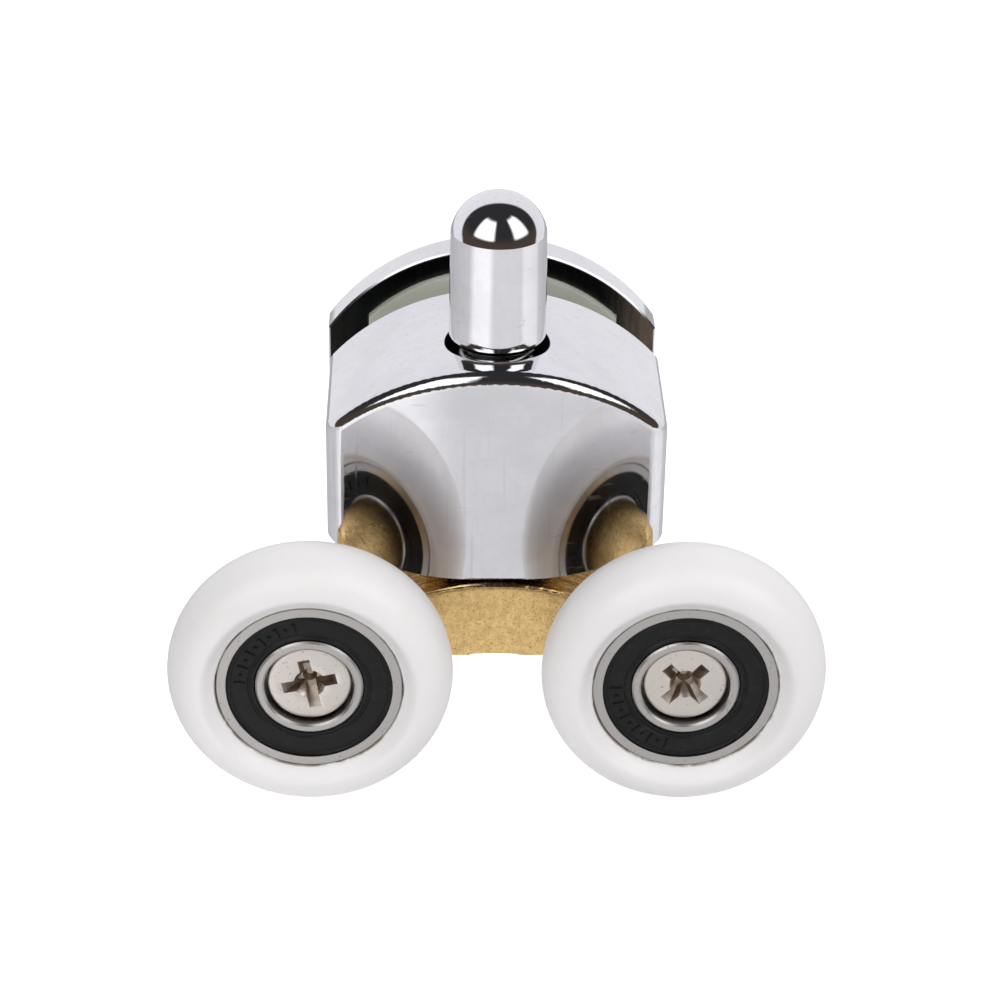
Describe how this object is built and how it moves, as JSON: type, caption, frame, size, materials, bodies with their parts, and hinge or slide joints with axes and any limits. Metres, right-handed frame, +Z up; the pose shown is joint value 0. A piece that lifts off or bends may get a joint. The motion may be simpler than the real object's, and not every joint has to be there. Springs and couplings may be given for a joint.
{
  "type": "sliding door roller",
  "caption": "Twin-wheel sliding door roller with a sprung push button, on a chrome housing that clamps to a glass door.",
  "frame": {"origin": "on the clamp screw's axis, in the plane of the front gasket's glass side", "axes": "+Z up along the push button; +Y from the wheels through the glass; +X across the two wheels"},
  "size_m": [0.0528, 0.0423, 0.0486],
  "materials": {
    "chrome_housing": "polished chrome plate",
    "chrome_button": "polished chrome plate",
    "chrome_plate": "polished chrome plate",
    "gasket_vinyl": "soft grey-green vinyl",
    "pad_rubber": "dark rubber pad",
    "sleeve_nylon": "natural nylon",
    "spring_steel": "stainless spring wire",
    "cast_brass": "sand-cast brass, granular",
    "stem_steel": "turned stainless steel",
    "screw_nickel": "nickel-plated steel",
    "ring_steel": "ground bearing steel",
    "ball_steel": "polished bearing steel",
    "cage_steel": "pressed steel",
    "tyre_nylon": "white nylon, satin",
    "seal_rubber": "black nitrile rubber"
  },
  "bodies": {
    "root": {"housing": "chrome_housing", "front_gasket": "pad_rubber", "glass_sleeve": "sleeve_nylon", "return_spring": "spring_steel"},
    "carriage_set": {"carriage": "cast_brass", "button_stem": "stem_steel", "push_button": "chrome_button", "stem_screw": "screw_nickel", "lock_washer": "screw_nickel", "left_inner_ring": "ring_steel", "right_inner_ring": "ring_steel", "left_axle_screw": "screw_nickel", "right_axle_screw": "screw_nickel"},
    "left_wheel": {"left_tyre": "tyre_nylon", "left_outer_ring": "ring_steel", "left_front_seal": "seal_rubber", "left_rear_seal": "seal_rubber"},
    "right_wheel": {"right_tyre": "tyre_nylon", "right_outer_ring": "ring_steel", "right_front_seal": "seal_rubber", "right_rear_seal": "seal_rubber"},
    "left_ball_set": {"left_balls": "ball_steel", "left_cage": "cage_steel"},
    "right_ball_set": {"right_balls": "ball_steel", "right_cage": "cage_steel"},
    "clamp_plate": {"back_plate": "chrome_plate", "rear_gasket": "gasket_vinyl"},
    "clamp_screw": {"clamp_screw": "screw_nickel"}
  },
  "joints": [
    {"name": "button_slide", "type": "slide", "parent": "root", "child": "carriage_set", "axis": [0, 0, 1], "range_m": [-0.0055, 0], "stiffness_N_per_m": 900, "springref_m": 0.006, "deforming": ["return_spring"]},
    {"name": "left_wheel_spin", "type": "hinge", "parent": "carriage_set", "child": "left_wheel", "pos_m": [-0.015, -0.02625, -0.0035], "axis": [0, 1, 0], "continuous": true},
    {"name": "left_ball_spin", "type": "hinge", "parent": "carriage_set", "child": "left_ball_set", "pos_m": [-0.015, -0.02625, -0.0035], "axis": [0, 1, 0], "continuous": true},
    {"name": "right_wheel_spin", "type": "hinge", "parent": "carriage_set", "child": "right_wheel", "pos_m": [0.015, -0.02625, -0.0035], "axis": [0, 1, 0], "continuous": true},
    {"name": "right_ball_spin", "type": "hinge", "parent": "carriage_set", "child": "right_ball_set", "pos_m": [0.015, -0.02625, -0.0035], "axis": [0, 1, 0], "continuous": true},
    {"name": "clamp_slide", "type": "slide", "parent": "root", "child": "clamp_plate", "axis": [0, 1, 0], "range_m": [0, 0.0024]},
    {"name": "clamp_screw_turn", "type": "hinge", "parent": "clamp_plate", "child": "clamp_screw", "pos_m": [0, 0.012, 0], "axis": [0, 1, 0], "range_deg": [-1, 1081]}
  ],
  "couplings": [
    {"joint": "left_ball_spin", "follows": "left_wheel_spin", "ratio": 0.6123},
    {"joint": "right_ball_spin", "follows": "right_wheel_spin", "ratio": 0.6123},
    {"joint": "clamp_screw_turn", "follows": "clamp_slide", "rad_per_m": 7854}
  ]
}
